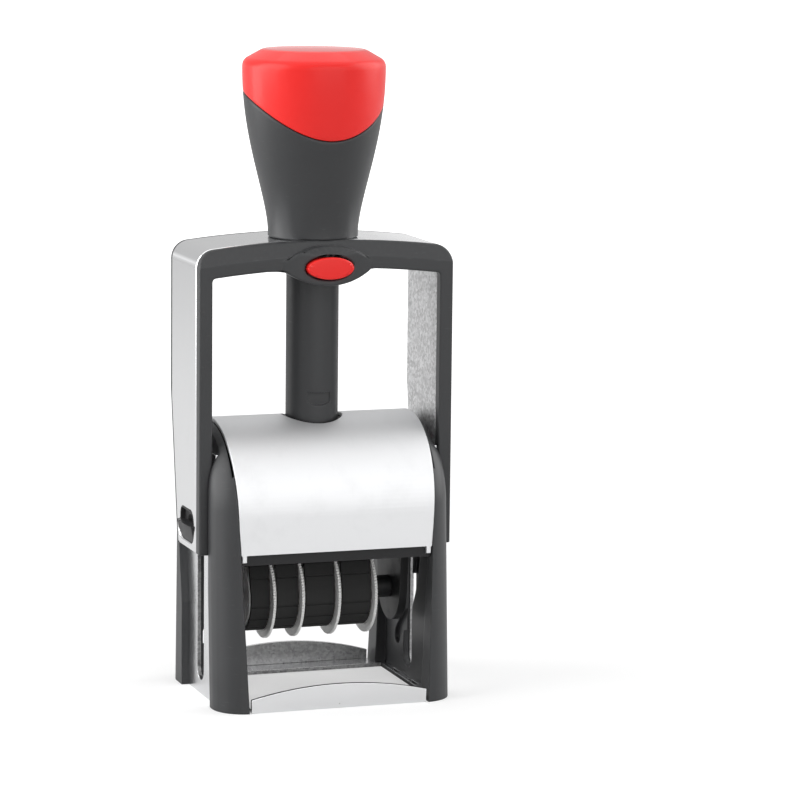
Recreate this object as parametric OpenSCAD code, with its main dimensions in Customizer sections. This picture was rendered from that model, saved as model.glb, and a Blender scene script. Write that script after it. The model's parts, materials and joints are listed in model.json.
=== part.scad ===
// Self-inking date stamp: a fixed base with a bright cover, a sliding yoke with a
// round handle, and a print head with four date bands that turns over as the yoke goes down.
// X is to the right, Y to the rear, Z up. The origin is on the desk, under the column.

/* [Base] */
// How far a cheek's front edge runs outward, from the floor to the crown of the cover
edge_offset = 2.8; // [1.5:0.1:3.2]
// Clear width between the walls of the two cheeks
bay_w = 51.8; // [51.2:0.1:55]
// How much a cheek's front edge narrows the bay at the floor, on each side
mouth_step = 2.9; // [2.8:0.1:3.2]
// Thickness of a cheek wall
cheek_wall = 1.5; // [1.2:0.1:2.5]
// Thickness of the bright sheet of the base and the cover
sheet = 1; // [0.7:0.1:1.3]
// Depth of the foot of the base before the axis of the column
foot_front = 25; // [24:0.5:28]
// Depth of the foot of the base behind the axis of the column
foot_rear = 23.6; // [23:0.1:26]
// Radius of the corners of the foot, seen from above
corner_r = 8; // [4:0.5:8]
// Height of the front lip at its middle
lip_h = 6.05; // [4:0.05:8]
// Height of the rear lip at its middle
rear_lip_h = 6.7; // [4:0.05:8]
// Height of the lips at their ends
lip_end_h = 3.3; // [2:0.1:4]
// Gap between a lip and the cheek beside it
lip_gap = 0.6; // [0.6:0.1:4]
// Width of the stamping window in the floor
window_w = 48.4; // [44:0.2:49]
// Depth of the stamping window in the floor
window_d = 31.6; // [28:0.2:33]

/* [Cover] */
// Outer radius of the domed cover
cover_r = 21.8; // [21.5:0.1:23]
// Height of the centre of the dome above the pivot of the print head
cover_rise = 4.4; // [4:0.1:6]
// How far the front edge of the cover lies below the pivot
cover_edge_drop = 4.5; // [2:0.1:6]
// How far the front skirt of the pad housing shows below the cover
skirt_h = 2.7; // [2:0.1:4]
// Wall of the pad housing
housing_wall = 1.5; // [1.2:0.1:2]

/* [Motion] */
// Travel of the yoke
travel = 33.3; // [32:0.1:36]
// Distance from the pivot to the print face
print_reach = 9.5; // [9.3:0.1:10.5]
// Distance of a cam lug from the pivot
lug_offset = 8; // [7:0.1:8.5]
// Radius of a cam lug
lug_r = 1.7; // [1.2:0.1:2]
// Radius of a pivot pin
pin_r = 2.7; // [2:0.1:3]
// Travel of the lock button
button_travel = 2; // [1:0.1:2]

/* [Yoke] */
// Thickness of the bright steel strip of the yoke
strip_t = 3.2; // [2:0.1:3.3]
// Distance of the strip's front edge from the axis of the column
strip_front = 9.4; // [8.5:0.1:10]
// Distance of the strip's rear edge from the axis of the column
strip_rear = 12.8; // [12:0.1:13]
// Distance of the strip's rear edge from the axis at the foot of a leg
strip_foot_rear = 6.4; // [6.4:0.1:9]
// Distance of the front trim's face from the axis of the column
trim_face = 12.5; // [12:0.1:12.8]
// Width of a trim, seen from the front
trim_w = 3.3; // [3.2:0.1:5]
// Thickness of the slim trim along the rear edge of the strip
rear_trim_t = 0.8; // [0.6:0.1:1]
// Height of the trim along the bridge
trim_h = 6.8; // [6:0.1:8]
// Height of the bridge, from its underside to its crown
bridge_h = 9.7; // [9:0.1:12]
// Radius of the arch of the bridge
arch_r = 240; // [160:1:300]
// Radius of the outer corners of the yoke
shoulder_r = 4.5; // [4:0.5:6]
// How far the legs reach below the pivot
leg_drop = 5.8; // [5.6:0.1:8]
// Width of the lock button
button_w = 11.8; // [9:0.2:13]
// Height of the lock button
button_h = 5.4; // [5:0.1:6]

/* [Handle] */
// Radius of the neck of the handle
neck_r = 11.1; // [10:0.1:12]
// Largest radius of the handle
grip_r = 17.6; // [17:0.1:20]
// How far the column reaches above the yoke
column_rise = 8.5; // [6:0.5:12]
// Outer radius of the guide column
column_r = 6.5; // [6:0.1:7]
// Wall of the guide column
column_wall = 1.6; // [1.2:0.1:1.8]
// Radius of the curve that parts the cap from the grip, seen from the side
cap_curve_r = 31.2; // [28:0.1:36]

/* [Print head] */
// Distance from an end of the text plate to the end of the print head
plate_inset = 2.1; // [2.1:0.1:3]
// Depth of the text plate
plate_d = 24; // [20:0.5:24]
// Thickness of the text plate with its relief
plate_t = 3; // [2.5:0.1:3.4]
// Gap between the print head and the cheek beside it
head_gap = 0.4; // [0.4:0.1:0.8]
// Distance from the pivot down to the axle of the thumbwheels
wheel_drop = 18.5; // [17.5:0.1:18.8]
// Outer radius of a thumbwheel
wheel_r = 11.2; // [10.8:0.1:11.4]
// Thickness of a thumbwheel's rim
wheel_t = 0.7; // [0.6:0.1:1]
// Number of teeth round a thumbwheel
wheel_teeth = 96; // [60:4:100]
// Outer radius of a date band round its drum
band_r = 9.1; // [8.8:0.1:9.4]
// Thickness of a date band
band_t = 0.8; // [0.6:0.1:1]

/* [Clearances] */
// Radial clearance of a pin or shaft in its bore
pin_fit = 0.05; // [0.02:0.01:0.1]
// Gap between pieces that are seated in each other
seat_gap = 0.05; // [0.02:0.01:0.1]
// Gap between pieces that move past each other
slide_gap = 0.3; // [0.2:0.05:0.5]
// Gap between the side walls and the legs of the yoke
yoke_gap = 0.7; // [0.5:0.1:1.5]
// Gap between the print face and the ink pad at rest, and above the desk at the end
print_gap = 0.2; // [0.15:0.05:0.3]

/* [Hidden] */
$fn = 64;
eps = 0.01;
far = 200;
// Fine step where a straight form runs into a round one
seam = 0.03;

// Small fixed measures of the seats and stops
rear_rise = 13.1;
pad_t = 4;
pad_seat = 0.2;
tray_t = 1.8;
tray_room = 1.2;
web_t = 1.5;
end_room = 1.3;
plug_t = 1;
cap_t = 2.1;
cap_wall = 3.2;
button_drop = 6.5;
leg_proud = 2.1;
pin_inset = 1.4;
channel_gap = 0.5;
rear_channel = 10.6;
slot_room = 3.3;
track_d = 1;
floor_side = 2.3;
post_lip_d = 6.5;
lip_inset = 0.6;
post_inset = 0.2;
post_root = 4;
front_post_d = 2;
rear_post_d = 5.6;
post_hide = 1;
wall_lap = 2;
slot_gap = 0.4;
sheet_slot_gap = 0.2;
leg_taper = 32;
hole_gap = 1;
plunger_gap = 0.5;
spring_seat = 2.5;
spring_head = 4;
plug_rise = 22;
rail_run = 4;
boss_proud = 1.8;
tray_inset = 0.1;
axle_r = 1.5;
bar_r = 2.6;
tenon_r = 0.8;
head_plate_t = 2;
clip_y = -0.8;

// Heights, from the desk up
pivot_z = travel + print_reach + print_gap;
axis_z = pivot_z + cover_rise;
crown_z = axis_z + cover_r;
cover_edge_z = pivot_z - cover_edge_drop;
skirt_z = cover_edge_z - skirt_h;
rear_edge_z = axis_z + rear_rise;
pad_z = pivot_z + print_reach + 1.5 * print_gap;
tray_z = pad_z + pad_t + pad_seat;
web_z = tray_z + tray_t + tray_room;
seat_z = web_z + web_t;
bridge_z = crown_z + travel + end_room;
yoke_top = bridge_z + bridge_h;
trim_z = yoke_top - trim_h;
foot_z = pivot_z - leg_drop;
taper_z = pivot_z + leg_taper;
column_top = yoke_top + column_rise;
bore_top = column_top + travel + end_room - 2 * seat_gap;
plug_top = bore_top + plug_t;
handle_top = plug_top + cap_t;
arch_z = yoke_top - arch_r;
button_z = yoke_top - button_drop;
notch_z = button_z - travel;

// Widths that follow from the bay between the cheeks
mouth_w = bay_w - 2 * mouth_step;
lip_w = mouth_w - 2 * lip_gap;
head_w = mouth_w - 2 * head_gap;
plate_w = head_w - 2 * plate_inset;

// Half widths, from the middle out
wall_x = bay_w / 2 + cheek_wall;
side_x = wall_x + sheet;
yoke_x = side_x + yoke_gap + trim_w;
strip_x = yoke_x - strip_t;
cheek_x = yoke_x - leg_proud;
pin_end_x = yoke_x - pin_inset;
post_in_x = mouth_w / 2 - post_hide;

// Depths before and behind the axis of the column
channel_y = trim_face + channel_gap;
foot_d = [foot_front, foot_rear];
post_d = [front_post_d, rear_post_d];
lip_y = [for (d = foot_d) d - lip_inset];
lip_top = [lip_h, rear_lip_h];
post_lip_y = [for (d = foot_d) d - post_lip_d];

// Mating radii
housing_r = cover_r - sheet - seat_gap;
column_bore = column_r + pin_fit;
column_inner_r = column_r - column_wall;
cover_hole_r = column_r + hole_gap;
handle_bore = column_r + slide_gap;
plunger_r = column_inner_r - plunger_gap;
plug_r = grip_r - cap_wall;
tray_r = cover_r - tray_inset;
axle_z = pivot_z - wheel_drop;
drum_r = band_r - band_t - slide_gap;
bar_z = pivot_z + print_reach - band_t - bar_r - 2 * slide_gap;
bar_band_r = bar_r + slide_gap + band_t;
plate_x = head_w / 2;
plate_in_x = plate_x - head_plate_t;
frame_z = pivot_z + print_reach - plate_t;
pad_half = [plate_w / 2 + 0.5, plate_d / 2 + 0.7];

// Column spring
spring_r = column_inner_r - 1;
spring_wire = 0.45;
spring_turns = 12;
spring_floor = seat_z + spring_seat;
spring_top = column_top - spring_head;

// Right faces of the four thumbwheels, as shares of the head's width, and the drum to the left of each
wheel_shares = [-0.27, -0.1062, 0.1018, 0.312];
first_drum_share = 0.12;
drum_gap = 0.6;
wheel_x = [for (share = wheel_shares) head_w * share];
drum_w = [for (i = [0 : 3])
    i == 0 ? head_w * first_drum_share : wheel_x[i] - wheel_x[i - 1] - wheel_t - drum_gap];
band_margin = 0.3;
bands_x = [wheel_x[0] - wheel_t - drum_w[0] - 2 * band_margin, wheel_x[3] + band_margin];

dark_grey = [0.3, 0.305, 0.31];
black = [0.17, 0.17, 0.175];
bright = [0.86, 0.87, 0.88];
red = [0.9, 0.17, 0.15];
white = [0.92, 0.92, 0.9];

// Half width of the mouth between the cheeks at height z
function mouth_x(z) = mouth_w / 2 + edge_offset * z / crown_z;

// Lean of a post from its foot to the rim of the dome; side is 0 for the front one and 1 for the rear one
function post_lean(side) =
    let (y = foot_d[side] - post_inset)
    acos(cover_r / norm([y, axis_z])) - atan(axis_z / y);

// Outer radius of the handle at height z: a neck that swells into the grip
neck_h = 1.5;
swell_h = 40;
swell_power = 0.75;
function handle_r(z) =
    let (t = min(1, max(0, (z - yoke_top - neck_h) / swell_h)))
    neck_r + (grip_r - neck_r) * (1 - cos(180 * pow(t, swell_power))) / 2;

// Place of a cam lug, as [y, z], when the print head has turned by the angle a
function lug_at(a) =
    [-lug_offset * cos(a), pivot_z - travel * a / 180 - lug_offset * sin(a)];

// Outline in Y and Z, drawn out along X from x0 to x1
module along_x(x0, x1) {
    translate([x0, 0, 0]) rotate([90, 0, 90]) linear_extrude(x1 - x0) children();
}

// Outline in X and Z, drawn out along Y from y0 to y1
module along_y(y0, y1) {
    translate([0, y1, 0]) rotate([90, 0, 0]) linear_extrude(y1 - y0) children();
}

// Round bar along X at the given Y and Z
module bar_x(x0, x1, r, y, z) {
    translate([x0, y, z]) rotate([0, 90, 0]) cylinder(h = x1 - x0, r = r);
}

// Box between two corners
module block(low, high) {
    translate(low) cube(high - low);
}

// Rectangle with round corners about the origin
module soft_square(w, h, r) {
    square([w - 2 * r, h], center = true);
    square([w, h - 2 * r], center = true);
    for (sx = [-1, 1], sy = [-1, 1]) translate([sx * (w / 2 - r), sy * (h / 2 - r)]) circle(r);
}

// Ellipse of the given width and height
module oval(w, h) {
    polygon([for (a = [0 : 10 : 350]) [w / 2 * cos(a), h / 2 * sin(a)]]);
}

// Belt outline round two wheels: radius r1 at height z1 and radius r2 at a higher z2
module belt_area(r1, z1, r2, z2) {
    tilt = asin((r1 - r2) / (z2 - z1));
    low = [0, z1] + (r1 - seam) * [cos(tilt), sin(tilt)];
    high = [0, z2] + (r2 - seam) * [cos(tilt), sin(tilt)];
    translate([0, z1]) circle(r1);
    translate([0, z2]) circle(r2);
    polygon([[-low.x, low.y], low, high, [-high.x, high.y]]);
}

// Side view of the dome: a half round of radius r on a straight skirt that ends at height low
module dome_area(r, low) {
    half = r - seam;
    intersection() {
        translate([0, axis_z]) circle(r);
        translate([-far, axis_z]) square([2 * far, far]);
    }
    translate([-half, low]) square([2 * half, axis_z - low + seam]);
}

// Curved sheet of the dome, cut off at the rear above the pad's opening
module dome_sheet(r, t, low) {
    difference() {
        dome_area(r, low);
        dome_area(r - t, low - 1);
        translate([0, low - 1]) square([far, rear_edge_z - low + 1]);
    }
}

// Front view of the space between the cheeks, kept off them by a gap
module mouth_area(gap) {
    polygon([
        [-mouth_x(0) + gap, 0], [mouth_x(0) - gap, 0],
        [mouth_x(crown_z) - gap, crown_z], [-mouth_x(crown_z) + gap, crown_z]
    ]);
}

// Front view of the yoke inside its outline by dx at the sides and dz at the top
module yoke_area(dx, dz, r) {
    half = yoke_x - dx;
    arch = arch_r - dz;
    corner = [half - r, arch_z + sqrt(pow(arch - r, 2) - pow(half - r, 2))];
    out = (corner - [0, arch_z]) / norm(corner - [0, arch_z]);
    difference() {
        intersection() {
            translate([0, arch_z]) circle(arch, $fn = 180);
            translate([-half, foot_z - 2 * eps]) square([2 * half, yoke_top]);
        }
        for (side = [0, 1]) mirror([side, 0]) difference() {
            polygon([corner, corner + [2 * r, 0], corner + [2 * r, 2 * r], corner + out * 2 * r]);
            translate(corner) circle(r);
        }
    }
}

// Side view of the strip, whose rear edge runs forward towards the feet of the legs; grow widens it
module strip_side(grow) {
    polygon([
        [-strip_front - grow, foot_z], [strip_foot_rear + grow, foot_z], [strip_rear + grow, taper_z],
        [strip_rear + grow, yoke_top], [-strip_front - grow, yoke_top]
    ]);
}

// Side view of the channel in which a leg of the yoke runs, kept smaller by a gap
module channel_area(gap) {
    run_z = taper_z - travel;
    slope = (taper_z - foot_z) / (strip_rear - strip_foot_rear);
    low = rear_channel - gap;
    high = strip_rear + rear_trim_t + channel_gap - gap;
    polygon([
        [-channel_y + gap, -1], [low, -1], [low, run_z - slope * (high - low)], [high, run_z],
        [high, far], [-channel_y + gap, far]
    ]);
}

// Shell of the strip, drawn out wide along Y
module strip_shell() {
    along_y(-far, far) difference() {
        yoke_area(0, 0, shoulder_r);
        yoke_area(strip_t, strip_t, shoulder_r - strip_t);
        translate([0, foot_z - 1]) square([2 * strip_x, 2], center = true);
    }
}

// Eye-shaped boss round the lock button
module eye_area() {
    eye_r = 18.7;
    low = button_z - button_h / 2 - 1.7;
    high = button_z + button_h / 2 + 2.6;
    intersection() {
        translate([0, low + eye_r]) circle(eye_r);
        translate([0, high - eye_r]) circle(eye_r);
    }
}

// Hole for the lock button
module button_hole() {
    translate([0, button_z]) oval(button_w + 2 * slide_gap, button_h + 2 * slide_gap);
}

// Opening for the pivot clip in the leg of the yoke
module clip_area(gap) {
    clip_w = 13;
    clip_h = 8;
    clip_corner_r = 3;
    translate([clip_y, pivot_z]) soft_square(clip_w - 2 * gap, clip_h - 2 * gap, clip_corner_r);
}

// Path of the cam lug in the inner face of a cheek, as wide as the lug and its running gap
module cam_area() {
    w = lug_r + slide_gap;
    steps = [0 : 9 : 180];
    left = [for (a = steps) let (d = lug_at(a + 1) - lug_at(a - 1)) lug_at(a) + w * [-d.y, d.x] / norm(d)];
    right = [for (a = steps) let (d = lug_at(a + 1) - lug_at(a - 1)) lug_at(a) - w * [-d.y, d.x] / norm(d)];
    polygon(concat(left, [for (i = [len(right) - 1 : -1 : 0]) right[i]]));
    for (a = [0, 180]) translate(lug_at(a)) circle(w);
}

// Upright slot for a pivot pin, with half width w
module pin_slot(w) {
    low = pivot_z - travel - slot_room;
    translate([-w, low]) square([2 * w, pivot_z - low]);
    for (z = [low, pivot_z]) translate([0, z]) circle(w);
}

// Plan of the floor sheet
module floor_plan(grow) {
    for (s = [
        [lip_w / 2, lip_y[0], lip_y[1]],
        [window_w / 2 + floor_side, post_lip_y[0] + 1, post_lip_y[1] + 1],
        [side_x, channel_y - 2 * seat_gap, rear_channel - 2 * seat_gap]
    ])
        translate([-s.x - grow, -s.y - grow]) square([2 * (s.x + grow), s.y + s.z + 2 * grow]);
}

// Floor, two lips and two slotted side walls bent from one bright sheet
module base_frame() {
    lip_r = [for (h = lip_top) (pow(lip_w / 2, 2) + pow(h - lip_end_h, 2)) / (2 * (h - lip_end_h))];
    wall_top = rear_edge_z + 1.5;
    lance = [0.9, 5];
    lance_y = 7;
    nick = [0.7, 1.2];
    color(bright) {
        difference() {
            linear_extrude(sheet) floor_plan(0);
            translate([0, 0, sheet / 2]) cube([window_w, window_d, 2 * sheet], center = true);
            for (sx = [-1, 1], sy = [-1, 1])
                translate([sx * (window_w / 2 + lance.x), sy * lance_y, 0])
                    cube([lance.x, lance.y, 3 * sheet], center = true);
        }
        for (side = [0, 1]) mirror([0, side, 0]) along_y(-lip_y[side], -lip_y[side] + sheet) difference() {
            intersection() {
                translate([0, lip_top[side] - lip_r[side]]) circle(lip_r[side], $fn = 180);
                translate([-lip_w / 2, 0]) square([lip_w, lip_top[side]]);
            }
            polygon([[-nick.x, -eps], [nick.x, -eps], [0, nick.y]]);
        }
        for (side = [0, 1]) mirror([side, 0, 0]) along_x(wall_x, side_x) difference() {
            intersection() {
                channel_area(2 * seat_gap);
                translate([-far, 0]) square([2 * far, wall_top]);
            }
            pin_slot(pin_r + sheet_slot_gap);
        }
    }
}

// Leaning corner post of a cheek, quarter round in section, that runs into the rim without a step;
// side is 0 for the front one and 1 for the rear one
module post(side) {
    depth = post_d[side];
    length = axis_z + post_root;
    r = corner_r - seam;
    bend_x = cheek_x - corner_r - post_in_x;
    translate([post_in_x, 0, axis_z]) rotate([-post_lean(side), 0, 0])
        translate([0, corner_r - cover_r, -length]) linear_extrude(length + seam) {
            translate([bend_x, 0]) circle(r);
            translate([0, -r]) square([bend_x, r + depth]);
            square([bend_x + r, depth]);
        }
}

// Round rim of a cheek beside the cover, down to where the posts begin
module rim() {
    intersection() {
        translate([0, 0, axis_z]) rotate([0, 90, 0]) rotate_extrude() {
            translate([0, post_in_x]) square([cover_r, cheek_x - corner_r - post_in_x]);
            translate([0, post_in_x]) square([cover_r - corner_r, cheek_x - post_in_x]);
            translate([cover_r - corner_r, cheek_x - corner_r]) circle(corner_r);
        }
        along_x(0, far) translate([0, axis_z]) polygon([
            [0, 0], far * [-cos(post_lean(0)), sin(post_lean(0))], [-far, far], [far, far],
            far * [cos(post_lean(1)), sin(post_lean(1))]
        ]);
    }
}

// Right-hand cheek: side wall, two corner posts and the rim beside the cover
module cheek() {
    inset = corner_r + post_hide;
    difference() {
        union() {
            along_x(bay_w / 2, wall_x) polygon([
                [-foot_front + inset, 0], [foot_rear - inset, 0],
                [cover_r - inset, axis_z + wall_lap], [-cover_r + inset, axis_z + wall_lap]
            ]);
            for (side = [0, 1]) mirror([0, side, 0]) post(side);
            rim();
        }
        block([0, -far, -far], [far, far, 0]);
        // Channel in which the leg of the yoke runs
        along_x(wall_x, far) channel_area(0);
        // Mouth between the two cheeks, which the cover fills
        along_y(-far, far) mouth_area(0);
        // Room behind the lips of the posts
        block([0, -post_lip_y[0], -1], [bay_w / 2, post_lip_y[1], crown_z]);
        // Room for the floor sheet
        translate([0, 0, -1]) linear_extrude(sheet + 1) floor_plan(seat_gap);
        along_x(0, far) pin_slot(pin_r + slot_gap);
        along_x(0, bay_w / 2 + track_d) cam_area();
    }
}

module left_cheek() { color(dark_grey) mirror([1, 0, 0]) cheek(); }

module right_cheek() { color(dark_grey) cheek(); }

// Black shell under the cover that holds the pad's rails and the column's socket
module pad_housing() {
    rail_x = plate_x - 0.2;
    rail_w = 1.8;
    rail_low = tray_z - 1.6;
    rail_end = plate_d / 2 + rail_run;
    web_end = plate_d / 2 + 1.5;
    socket_wall = 2.1;
    socket_drop = 2;
    socket_top = crown_z - sheet - socket_drop;
    color(black) difference() {
        intersection() {
            union() {
                along_x(-wall_x, wall_x) dome_sheet(housing_r, housing_wall, skirt_z);
                intersection() {
                    along_x(-wall_x, wall_x) dome_area(housing_r - eps, rail_low - 1);
                    union() {
                        block([-wall_x, -far, web_z], [wall_x, web_end, seat_z]);
                        for (side = [0, 1]) mirror([side, 0, 0]) {
                            block([rail_x, -far, rail_low], [wall_x, rail_end, tray_z - 2 * seat_gap]);
                            block([rail_x + rail_w, -far, rail_low], [wall_x, rail_end, crown_z]);
                        }
                    }
                }
                translate([0, 0, web_z]) cylinder(h = socket_top - web_z, r = column_r + socket_wall);
            }
            along_y(-far, far) mouth_area(2 * seat_gap);
        }
        translate([0, 0, seat_z]) cylinder(h = far, r = column_r + seat_gap);
    }
}

// Bright curved cover with the hole for the column and two small tabs at its lower corners
module dome_cover() {
    tab_w = 1.2;
    tab_h = 1.8;
    tab_x = mouth_x(cover_edge_z) - 1.6;
    color(bright) difference() {
        union() {
            intersection() {
                along_x(-wall_x, wall_x) dome_sheet(cover_r, sheet, cover_edge_z);
                along_y(-far, far) mouth_area(seat_gap);
            }
            for (side = [0, 1]) mirror([side, 0, 0])
                translate([tab_x, -cover_r, cover_edge_z - tab_h]) cube([tab_w, sheet, tab_h + eps]);
        }
        cylinder(h = far, r = cover_hole_r);
    }
}

// Hollow column on which the yoke slides, with the notch for the lock button
module guide_column() {
    notch_w = 5.7;
    notch_h = 3.2;
    notch_d = 1.1;
    color(dark_grey) difference() {
        translate([0, 0, seat_z]) cylinder(h = column_top - seat_z, r = column_r);
        translate([0, 0, spring_floor]) cylinder(h = far, r = column_inner_r);
        along_y(-far, -column_r + notch_d) translate([0, notch_z]) intersection() {
            square([notch_w, notch_h], center = true);
            translate([0, notch_w - notch_h / 2]) circle(notch_w);
        }
    }
}

// One coil of round wire, as rings of six points along a helix
module main_spring() {
    rings = spring_turns * 8;
    low = spring_floor + spring_wire;
    rise = spring_top - spring_wire - low;
    mid = [for (i = [0 : rings]) [spring_r * cos(45 * i), spring_r * sin(45 * i), low + rise * i / rings]];
    points = [for (i = [0 : rings], k = [0 : 5])
        let (out = [cos(45 * i), sin(45 * i), 0])
        mid[i] + spring_wire * (cos(60 * k) * out + [0, 0, sin(60 * k)])];
    sides = [for (i = [0 : rings - 1], k = [0 : 5])
        let (a = 6 * i + k, b = 6 * i + (k + 1) % 6)
        each [[a, b, a + 6], [b, b + 6, a + 6]]];
    last = 6 * rings;
    ends = [for (k = [1 : 4]) each [[0, k + 1, k], [last, last + k, last + k + 1]]];
    gap = min([for (i = [0 : rings - 4], j = [i + 4 : rings]) norm(mid[i] - mid[j])]) - 2 * spring_wire;
    echo(spring_least_gap = gap);
    color(bright) polyhedron(points, concat(sides, ends));
}

// Sliding tray that holds the ink pad, with a curved rear wall to pull it by
module pad_tray() {
    flange_x = plate_x + 1.3;
    rim_h = pad_t - 1.4;
    rim_t = 0.9;
    apron_low = axis_z - 5.9;
    apron_t = 1.4;
    apron_x = mouth_w / 2 - 0.4;
    pull = [9, 0.9, 2];
    cup = pad_half + [rim_t, rim_t];
    color(black) difference() {
        union() {
            intersection() {
                block([-flange_x, -cup.y - rim_t, tray_z], [flange_x, far, tray_z + tray_t]);
                along_x(-far, far) dome_area(tray_r - eps, 0);
            }
            block([-cup.x, -cup.y, pad_z + pad_t - rim_h], [cup.x, cup.y, tray_z + eps]);
            along_x(-apron_x, apron_x) difference() {
                dome_area(tray_r, apron_low);
                dome_area(tray_r - apron_t, apron_low - 1);
                translate([-far, 0]) square([far, far]);
                translate([0, rear_edge_z - slide_gap]) square(far);
            }
            bar_x(-pull.x, pull.x, pull.y, tray_r - pull.y / 4, axis_z + pull.z);
        }
        block([-pad_half.x, -pad_half.y, 0], [pad_half.x, pad_half.y, tray_z - pad_seat]);
    }
}

// Felt ink pad, face down in its tray
module ink_pad() {
    half = pad_half - [seat_gap, seat_gap];
    color(red) block([-half.x, -half.y, pad_z], [half.x, half.y, pad_z + pad_t]);
}

// Bright strip bent into an upside-down U
module yoke_strip() {
    color(bright) difference() {
        intersection() {
            strip_shell();
            along_x(-far, far) strip_side(0);
        }
        translate([0, 0, bridge_z]) cylinder(h = far, r = column_r + 0.7);
        along_x(-far, far) clip_area(0);
    }
}

// Front view of a trim: the yoke's outline less a window of the given border and corners
module trim_area(w, h, r) {
    difference() {
        yoke_area(0, 0, shoulder_r);
        yoke_area(w, h, r);
        translate([0, foot_z - 1]) square([2 * yoke_x, 2], center = true);
    }
}

// Bevel along the arch that starts at the given depth, h below the crown
module arch_bevel(face, h) {
    back = trim_face - 1.6;
    translate([0, 0, arch_z]) rotate([90, 0, 0]) rotate_extrude($fn = 180) polygon([
        [arch_r - h, face + eps], [arch_r + 1, face + eps], [arch_r + 1, back], [arch_r, back]
    ]);
}

// Plastic trim before the front edge of the strip, bevelled along the arch, with the button's boss
module front_trim() {
    boss_r = 36;
    boss_face = trim_face + boss_proud;
    window_r = 1;
    color(dark_grey) difference() {
        union() {
            difference() {
                along_y(-trim_face, 0) trim_area(trim_w, trim_h, window_r);
                arch_bevel(trim_face, 3.7);
            }
            difference() {
                intersection() {
                    along_y(-boss_face, 0) eye_area();
                    translate([0, boss_r - boss_face, 0]) cylinder(h = far, r = boss_r, $fn = 180);
                }
                arch_bevel(boss_face, 3.3);
            }
        }
        block([-far, -strip_front, 0], [far, far, far]);
        along_y(-far, far) button_hole();
    }
}

// Slim plastic trim along the rear edge of the strip
module rear_trim() {
    w = strip_t - 0.6;
    color(dark_grey) difference() {
        intersection() {
            along_y(0, far) trim_area(w, w, shoulder_r - w);
            along_x(-far, far) strip_side(rear_trim_t);
        }
        along_x(-far, far) strip_side(0);
    }
}

// Guide block under the crown of the strip, bored for the column
module yoke_bridge() {
    half_x = 13;
    half_y = strip_front - seat_gap;
    color(black) difference() {
        along_y(-half_y, half_y) intersection() {
            yoke_area(strip_t, strip_t, 1);
            translate([-half_x, trim_z]) square([2 * half_x, trim_h]);
        }
        translate([0, 0, bridge_z - 1]) cylinder(h = far, r = column_bore);
        along_y(-far, -column_r + 1) button_hole();
    }
}

// Outer form of the whole handle: neck, swelling grip and round-edged top
module handle_form() {
    edge_r = 3.4;
    step = 1.5;
    straight = handle_top - edge_r;
    side = [for (z = [yoke_top + neck_h : step : straight]) [handle_r(z), z]];
    edge = [for (a = [0 : 10 : 90]) [grip_r - edge_r * (1 - cos(a)), straight + edge_r * sin(a)]];
    rotate_extrude() polygon(concat(
        [[0, yoke_top - 2], [neck_r, yoke_top - 2]],
        side, edge, [[0, handle_top]]
    ));
}

// Round bar across the handle whose surface parts the cap from the grip
module cap_parting(r) {
    curve_y = 8.1;
    curve_drop = 41.7;
    bar_x(-far, far, r, curve_y, handle_top - curve_drop);
}

// Dark grip, seated on the arch of the strip
module handle_grip() {
    plug_low = yoke_top + plug_rise;
    color(dark_grey) difference() {
        union() {
            intersection() {
                handle_form();
                cap_parting(cap_curve_r);
            }
            translate([0, 0, plug_low]) cylinder(h = plug_top - plug_low, r = plug_r);
        }
        translate([0, 0, bridge_z]) cylinder(h = bore_top - bridge_z, r = handle_bore);
        along_y(-far, far) yoke_area(0, 0, shoulder_r);
    }
}

// Red cap over the plug at the top of the grip
module handle_cap() {
    color(red) difference() {
        handle_form();
        cap_parting(cap_curve_r + seat_gap);
        cylinder(h = plug_top + seat_gap, r = plug_r + seat_gap);
    }
}

// Rod in the handle that presses on the column spring
module spring_plunger() {
    head_t = 0.9;
    color(black) {
        translate([0, 0, spring_top]) cylinder(h = bore_top - spring_top, r = plunger_r);
        translate([0, 0, bore_top - head_t]) cylinder(h = head_t, r = column_r);
    }
}

// Steel pivot pin from the yoke's leg into the print head
module pivot_pin() {
    bar_x(plate_in_x + 0.2, pin_end_x, pin_r, 0, pivot_z);
}

module left_pivot_pin() { color(bright) mirror([1, 0, 0]) pivot_pin(); }

module right_pivot_pin() { color(bright) pivot_pin(); }

// Plastic clip that holds the pin in the leg: a hollow upper half and a proud lower tongue
module pin_clip() {
    tongue = 0.9;
    tongue_r = 6.1;
    tongue_drop = 5.5;
    face_x = yoke_x - 0.3;
    hollow_r = pin_r + 0.4;
    hollow_rise = 0.6;
    difference() {
        union() {
            along_x(strip_x + 2 * seat_gap, face_x) clip_area(seat_gap);
            along_x(face_x - eps, yoke_x + tongue) intersection() {
                clip_area(seat_gap);
                translate([clip_y, pivot_z - tongue_drop]) circle(tongue_r);
            }
        }
        bar_x(0, pin_end_x, pin_r + pin_fit / 2, 0, pivot_z);
        bar_x(pin_end_x - eps, far, hollow_r, 0, pivot_z + hollow_rise);
    }
}

module left_pin_clip() { color(black) mirror([1, 0, 0]) pin_clip(); }

module right_pin_clip() { color(black) pin_clip(); }

// Red button with a crowned face and a nose that fits the notch of the column
module lock_button() {
    proud = trim_face + boss_proud + 1.3;
    inner = column_r + button_travel + 0.8;
    crown_r = 40;
    nose = [2.5, 0.4, 1.2];
    color(red) {
        intersection() {
            along_y(-proud, -inner) translate([0, button_z]) oval(button_w, button_h);
            translate([0, crown_r - proud, button_z]) sphere(crown_r, $fn = 180);
        }
        block([-nose.x, -inner - eps, button_z - nose.z], [nose.x, -inner + nose.y, button_z + nose.z]);
    }
}

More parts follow.
